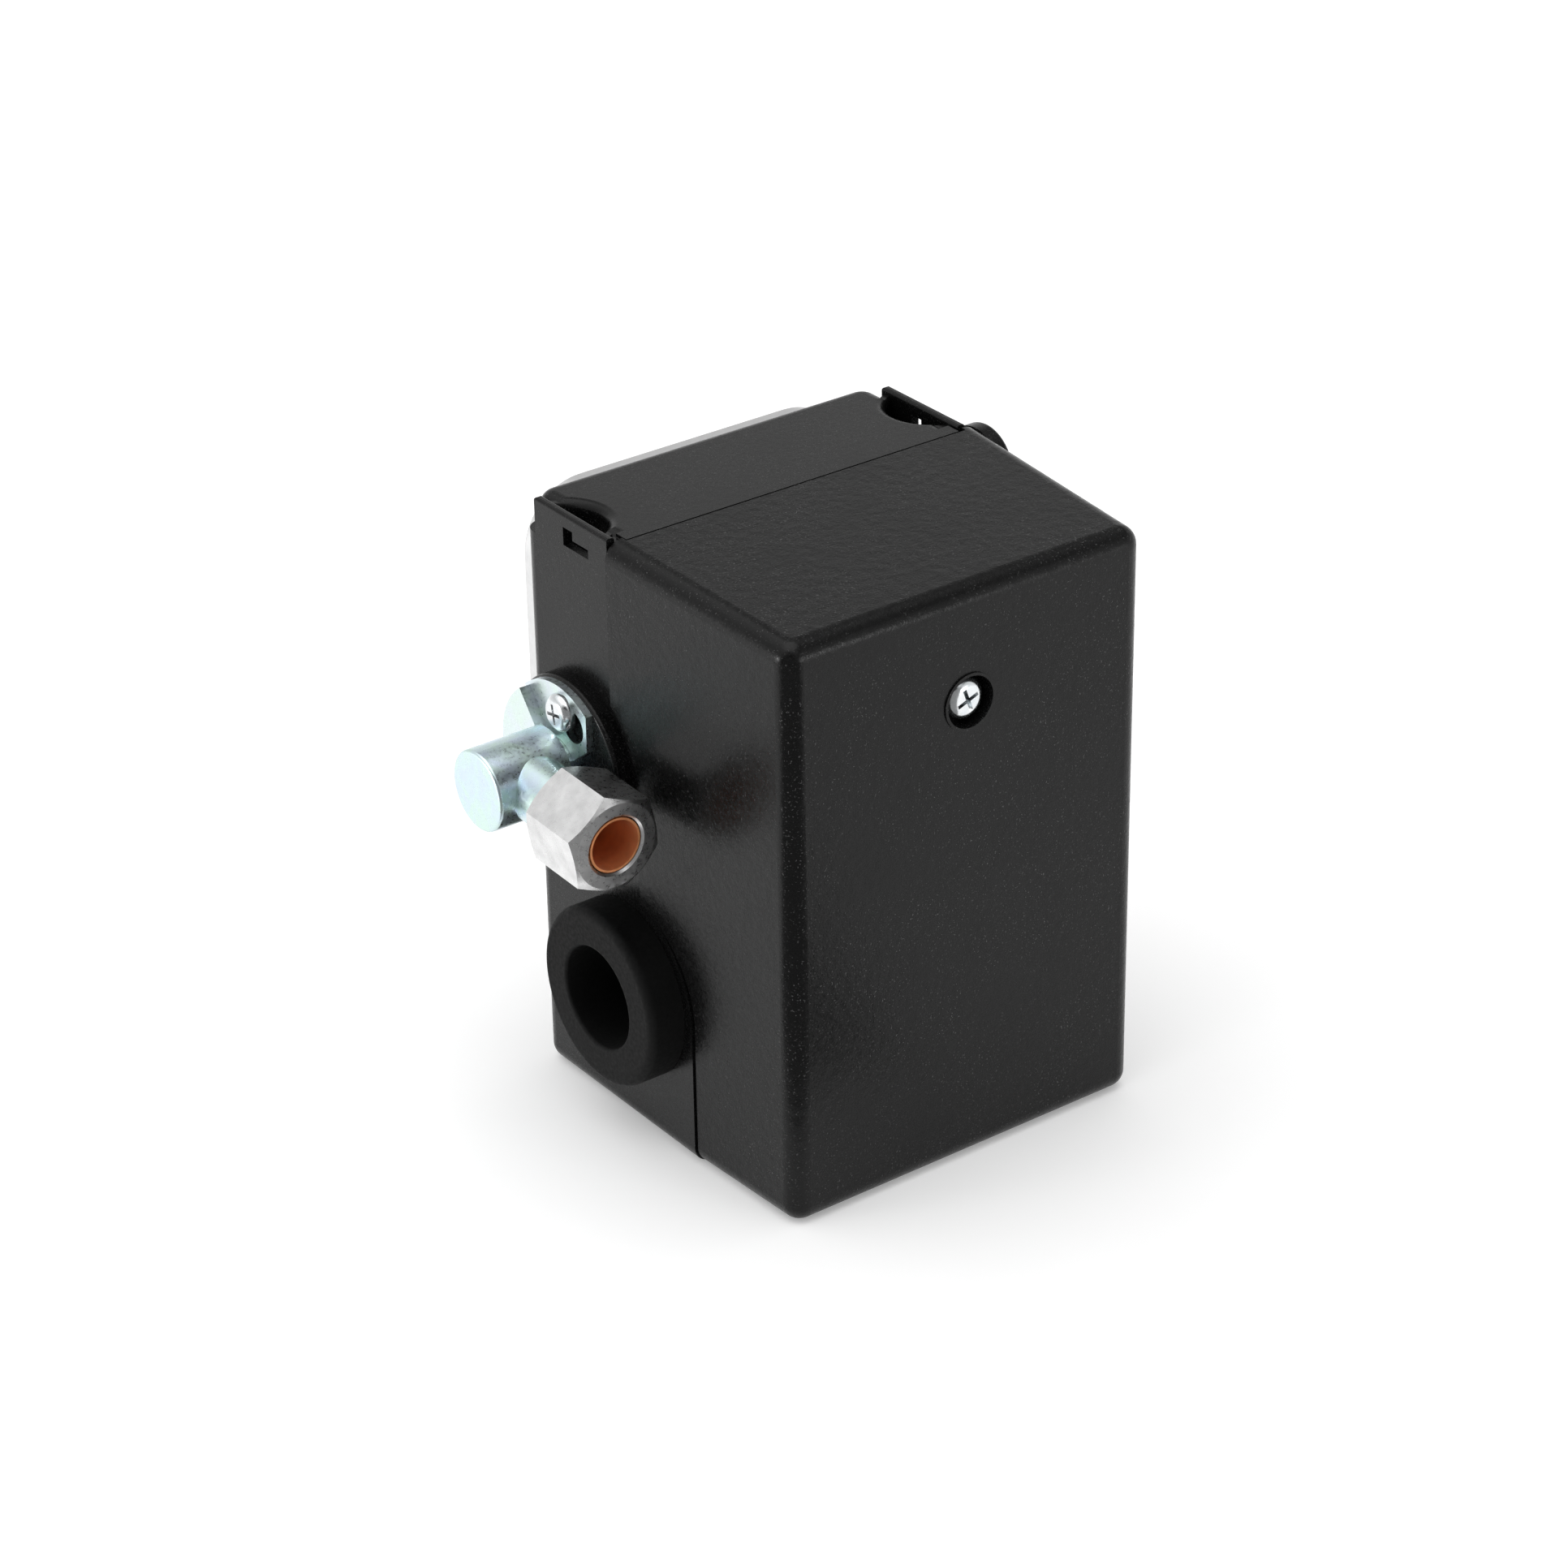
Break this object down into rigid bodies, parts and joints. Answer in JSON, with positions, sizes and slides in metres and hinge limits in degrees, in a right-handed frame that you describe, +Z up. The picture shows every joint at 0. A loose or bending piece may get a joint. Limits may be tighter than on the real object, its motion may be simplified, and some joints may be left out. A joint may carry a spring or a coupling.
{
  "type": "pressure switch",
  "caption": "Compressor pressure switch: black two-part box, flanged air port, unloader valve with tube nut, cable bushings, auto/off lever and contact mechanism.",
  "frame": {"origin": "centre of the width, on the face that the box stands on, level with the middle of its depth", "axes": "+Z up along the tall side of the box, +Y out of the pressure port at the back, cover towards -Y, unloader valve on -X"},
  "size_m": [0.094, 0.0822, 0.0973],
  "materials": {
    "cover_plastic": "spark-eroded moulded",
    "base_plastic": "satin moulded",
    "mechanism_plastic": "satin moulded",
    "phenolic": "moulded phenolic",
    "bushing_rubber": "matt",
    "diaphragm_rubber": "matt",
    "poppet_rubber": "matt",
    "cast_aluminium": "die-cast",
    "nut_aluminium": "matt turned",
    "zinc_screws": "bright zinc",
    "ground_zinc": "green passivated zinc",
    "zinc_sheet": "zinc plated sheet",
    "valve_zinc": "zinc plated, turned",
    "turned_steel": "turned",
    "spring_steel": "drawn wire",
    "brass": "stamped",
    "silver": "satin silver",
    "copper": "drawn copper"
  },
  "bodies": {
    "housing": {"base_housing": "base_plastic", "pressure_flange": "cast_aluminium", "diaphragm": "diaphragm_rubber", "flange_screws": "zinc_screws", "chassis": "zinc_sheet", "spring_bridge": "zinc_sheet", "pivot_pin": "turned_steel", "pivot_clips": "spring_steel", "range_spring": "spring_steel", "terminal_block": "phenolic", "fixed_contacts": "brass", "fixed_contact_rivets": "silver", "terminal_screws": "zinc_screws", "ground_screws": "ground_zinc", "carrier_guides": "turned_steel", "unloader_bracket": "zinc_sheet", "bracket_screw": "zinc_screws", "unloader_body": "valve_zinc", "stem_guide": "brass", "unloader_spring": "spring_steel", "cable_bushing_left": "bushing_rubber", "cable_bushing_right": "bushing_rubber"},
    "cover": {"cover": "cover_plastic"},
    "cover_screw": {"cover_screw": "zinc_screws"},
    "main_lever": {"main_lever": "zinc_sheet", "spring_seat_lower": "turned_steel", "trip_ramp": "mechanism_plastic"},
    "piston": {"diaphragm_piston": "mechanism_plastic"},
    "carrier": {"contact_carrier": "mechanism_plastic", "contact_bridges": "brass", "moving_contact_rivets": "silver", "contact_springs": "spring_steel"},
    "valve_stem": {"unloader_stem": "turned_steel", "unloader_poppet": "poppet_rubber"},
    "range_seat": {"spring_seat_upper": "turned_steel"},
    "range_screw": {"range_screw": "turned_steel"},
    "auto_off": {"auto_off_lever": "base_plastic", "off_cam": "mechanism_plastic"},
    "tube_sleeve": {"copper_sleeve": "copper"},
    "tube_nut": {"compression_nut": "nut_aluminium"}
  },
  "joints": [
    {"name": "cover_lift", "type": "slide", "parent": "housing", "child": "cover", "axis": [0, -1, 0], "range_m": [0, 0.06]},
    {"name": "cover_screw_turn", "type": "hinge", "parent": "cover", "child": "cover_screw", "pos_m": [0, -0.029, 0.0773], "axis": [0, -1, 0], "range_deg": [0, 360]},
    {"name": "lever_swing", "type": "hinge", "parent": "housing", "child": "main_lever", "pos_m": [0, 0.022, 0.087], "axis": [-1, 0, 0], "range_deg": [0, 3.1], "stiffness_Nm_per_rad": 4, "springref_deg": -5.73, "deforming": ["range_spring"]},
    {"name": "piston_slide", "type": "slide", "parent": "housing", "child": "piston", "axis": [0, -1, 0], "range_m": [0, 0.00127]},
    {"name": "contact_slide", "type": "slide", "parent": "housing", "child": "carrier", "axis": [0, -1, 0], "range_m": [0, 0.00195]},
    {"name": "stem_slide", "type": "slide", "parent": "housing", "child": "valve_stem", "axis": [-1, 0, 0], "range_m": [0, 0.00157], "deforming": ["unloader_spring"]},
    {"name": "range_feed", "type": "slide", "parent": "housing", "child": "range_seat", "axis": [0, 1, 0], "range_m": [-0.001, 0.002], "deforming": ["range_spring"]},
    {"name": "range_turn", "type": "hinge", "parent": "range_seat", "child": "range_screw", "pos_m": [0, -0.014, 0.064], "axis": [0, 1, 0], "range_deg": [-360.5, 720.5]},
    {"name": "auto_off_turn", "type": "hinge", "parent": "housing", "child": "auto_off", "pos_m": [0.036, 0.01, 0.0892], "axis": [1, 0, 0], "range_deg": [0, 50]},
    {"name": "sleeve_feed", "type": "slide", "parent": "housing", "child": "tube_sleeve", "axis": [0, -0.9995, -0.0314], "range_m": [0, 0.002]},
    {"name": "nut_turn", "type": "hinge", "parent": "tube_sleeve", "child": "tube_nut", "pos_m": [-0.0445, -0.00179, 0.05807], "axis": [0, -0.9995, -0.0314], "range_deg": [-0.5, 720.5]}
  ],
  "couplings": [
    {"joint": "piston_slide", "follows": "lever_swing", "m_per_rad": 0.023},
    {"joint": "contact_slide", "follows": "lever_swing", "m_per_rad": 0.0355},
    {"joint": "stem_slide", "follows": "lever_swing", "m_per_rad": 0.0285},
    {"joint": "range_turn", "follows": "range_feed", "rad_per_m": 6283.2},
    {"joint": "nut_turn", "follows": "sleeve_feed", "rad_per_m": 6283.2}
  ]
}
